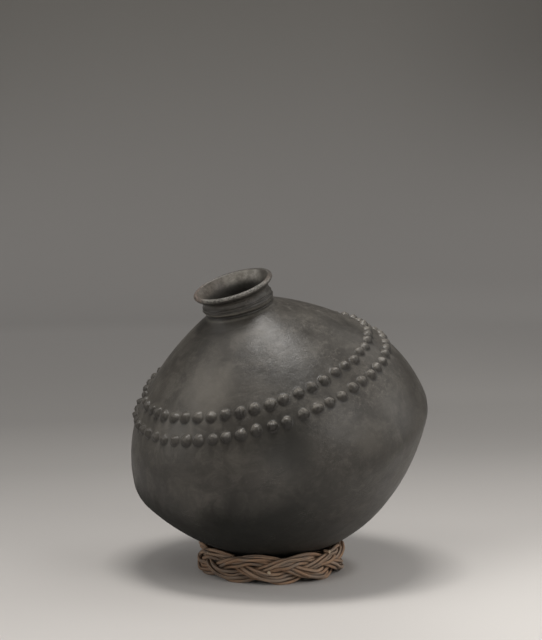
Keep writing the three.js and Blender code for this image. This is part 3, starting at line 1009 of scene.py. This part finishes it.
def stage_mesh():
    """Round floor that sweeps up into a wall."""
    section = [(radius, 0.0) for radius in FLOOR_RADII]
    for k in range(1, SWEEP_STEPS + 1):
        turn = math.radians(90 * k / SWEEP_STEPS)
        out, up = SWEEP_RADIUS * math.sin(turn), SWEEP_RADIUS * (1 - math.cos(turn))
        section.append((FLOOR_RADII[-1] + out, up))
    section.append((FLOOR_RADII[-1] + SWEEP_RADIUS, WALL_HEIGHT))
    vertices = [(0.0, 0.0, 0.0)]
    for radius, height in section:
        for i in range(STAGE_SEGMENTS):
            turn = 2 * math.pi * i / STAGE_SEGMENTS
            vertices.append((radius * math.cos(turn), radius * math.sin(turn), height))
    faces = fan(0, 1, STAGE_SEGMENTS, False)
    for row in range(len(section) - 1):
        low, high = 1 + row * STAGE_SEGMENTS, 1 + (row + 1) * STAGE_SEGMENTS
        faces += [face[::-1] for face in ring_faces(low, STAGE_SEGMENTS, high, STAGE_SEGMENTS)]
    return make_mesh("studio_floor", vertices, faces)


def paper_levels(tree, away, right):
    """The paper's level by the distance away from the front, a little aslant."""
    first, last = PAPER_LEVELS[0][0], PAPER_LEVELS[-1][0]
    ramp = add_node(tree, "ValToRGB")
    plug(tree, ramp.inputs["Fac"], fit_evenly(tree, plus(tree, away, right, PAPER_SLANT), first, last))
    bar = ramp.color_ramp
    while len(bar.elements) < len(PAPER_LEVELS):
        bar.elements.new(0.5)
    for element, (where, level) in zip(bar.elements, PAPER_LEVELS):
        element.position = (where - first) / (last - first)
        element.color = (*(level * part for part in PAPER_HUE), 1)
    return ramp.outputs["Color"]


def paper_colour(tree, place):
    """Paper that is palest at the front, darker up the wall and in its upper corners and paler on the right:
    painted light and shade of the lamps.
    """
    parts = add_node(tree, "SeparateXYZ", Vector=place).outputs
    right, away, up = parts["X"], parts["Y"], parts["Z"]
    colour = tint(tree, fit(tree, up, 0.0, 1.5), paper_levels(tree, away, right), HIGH_PAPER)
    aside = combine(tree, "MAXIMUM", right, times(tree, right, -0.5))
    corner = times(tree, fit(tree, aside, 0.2, 1.2), fit(tree, up, 0.25, 1.0))
    colour = lay(tree, colour, CORNER_PAPER, corner, 0.5)
    # Painted light on the paper on the right, far back and near the front.
    far_right = times(tree, fit(tree, right, 0.0, 0.45), fit(tree, away, 1.1, 1.8), fit(tree, up, 0.12, 0.0))
    colour = lay(tree, colour, FAR_RIGHT_PAPER, far_right, 0.15)
    near_right = times(tree, fit(tree, right, 0.05, 0.35),
                       fit(tree, plus(tree, away, right, -0.6), 0.05, -0.40))
    return lay(tree, colour, NEAR_RIGHT_PAPER, near_right, 0.52)


def paper_glow(tree, place):
    """The paper's own glow, which the camera and reflections see and the object isn't lit by, lowered beside
    the pot as painted shadow.
    """
    rays = add_node(tree, "LightPath").outputs
    seen = combine(tree, "MAXIMUM", rays["Is Camera Ray"], rays["Is Glossy Ray"])
    seen = combine(tree, "MAXIMUM", seen, rays["Is Transmission Ray"])
    from_ring = vector_math(tree, "DISTANCE", place, (0.0, 0.0, 0.0))
    from_shade = vector_math(tree, "DISTANCE", place, SHADE_MIDDLE)
    return times(tree, seen, fit(tree, from_ring, *GLOW_GAP, 0.0, PAPER_GLOW),
                 fit(tree, from_shade, *SHADE_REACH, SHADE_LEVEL, 1.0))


def make_stage():
    stage = stage_mesh()
    material, tree, shader = new_material("studio_paper")
    place = add_node(tree, "TexCoord").outputs["Object"]
    colour = paper_colour(tree, place)
    plug(tree, shader.inputs["Base Color"], tint(tree, 1.0, colour, (PAPER_LIT,) * 3, "MULTIPLY"))
    plug(tree, shader.inputs["Emission Color"], colour)
    plug(tree, shader.inputs["Emission Strength"], paper_glow(tree, place))
    shader.inputs["Roughness"].default_value = 0.95
    shader.inputs["Specular IOR Level"].default_value = 0.1
    stage.data.materials.append(material)


def make_camera():
    camera = bpy.data.objects.new("camera", bpy.data.cameras.new("camera"))
    camera.location = CAMERA_PLACE
    camera.rotation_euler = (math.radians(90 - CAMERA_PITCH), 0, 0)
    camera.data.lens = CAMERA_LENS
    camera.data.clip_start = 0.1
    camera.data.clip_end = 50
    bpy.context.scene.collection.objects.link(camera)
    bpy.context.scene.camera = camera


def area_light(name, place, target, size, power):
    light = bpy.data.lights.new(name, "AREA")
    light.shape = "RECTANGLE"
    light.size, light.size_y = size
    light.energy = power
    light.color = LIGHT_COLOUR
    lamp = bpy.data.objects.new(name, light)
    lamp.location = place
    lamp.rotation_euler = (Vector(target) - Vector(place)).to_track_quat("-Z", "Y").to_euler()
    bpy.context.scene.collection.objects.link(lamp)


def make_lights():
    for lamp in LAMPS:
        area_light(*lamp)
    world = bpy.data.worlds.new("studio")
    bpy.context.scene.world = world
    world.use_nodes = True
    background = world.node_tree.nodes["Background"]
    background.inputs["Color"].default_value = (*LIGHT_COLOUR, 1)
    background.inputs["Strength"].default_value = WORLD_STRENGTH


bpy.context.scene.view_settings.view_transform = "Standard"
make_camera()
make_stage()
make_lights()

pot = make_pot()
pot.data.materials.append(make_clay())
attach(pot, "pot")
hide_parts("pot")

make_ring(make_cane())
